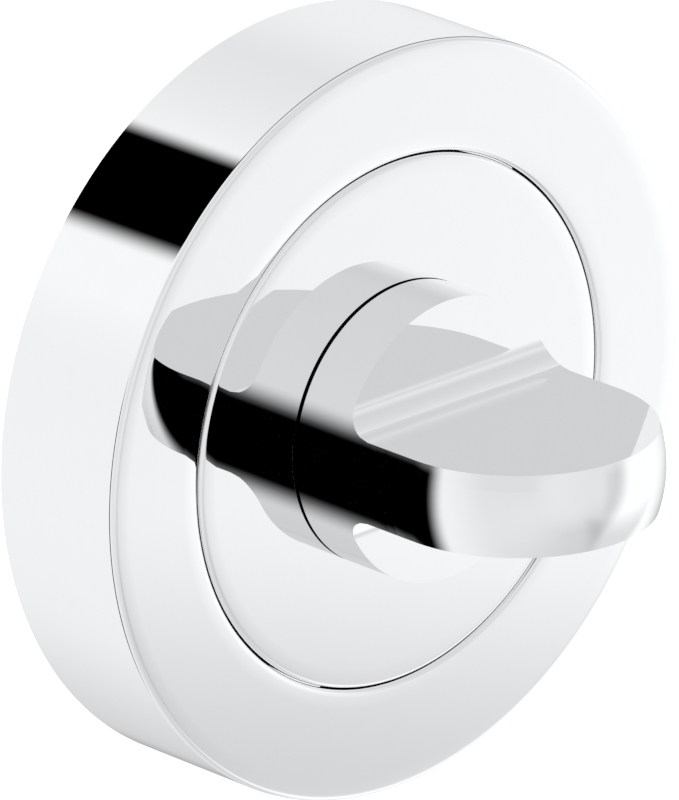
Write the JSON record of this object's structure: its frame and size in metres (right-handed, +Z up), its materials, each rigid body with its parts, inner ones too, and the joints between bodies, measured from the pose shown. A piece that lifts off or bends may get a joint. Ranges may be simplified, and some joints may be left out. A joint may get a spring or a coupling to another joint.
{
  "type": "bathroom thumb turn lock",
  "caption": "Polished chrome bathroom thumb turn: a flat blade on a round neck turns a square spindle through a round two-part rose.",
  "frame": {"origin": "centre of the rose on its back face, where the turn's axis meets the door", "axes": "+Z up, +Y into the door along the turn's axis, -Y out towards the user, +X to the user's right"},
  "size_m": [0.052, 0.0512, 0.052],
  "materials": {
    "polished_chrome": "mirror polished plate",
    "polished_chrome_disc": "mirror polished plate",
    "polished_chrome_turn": "mirror polished plate",
    "cast_zinc": "dull as-cast zinc alloy",
    "black_acetal": "smooth moulded",
    "spring_steel": "oiled spring steel",
    "zinc_steel": "bright zinc plate"
  },
  "bodies": {
    "rose": {"rose_cover": "polished_chrome", "face_disc": "polished_chrome_disc", "inner_rose": "cast_zinc", "turn_bush": "black_acetal", "wave_washer": "spring_steel"},
    "turn": {"turn_knob": "polished_chrome_turn", "thrust_washer": "zinc_steel", "circlip": "spring_steel", "spindle": "zinc_steel", "spindle_pin": "spring_steel"}
  },
  "joints": [
    {"name": "turn_spin", "type": "hinge", "parent": "rose", "child": "turn", "pos_m": [0, 0, 0], "axis": [0, -1, 0], "range_deg": [-90, 90]}
  ]
}
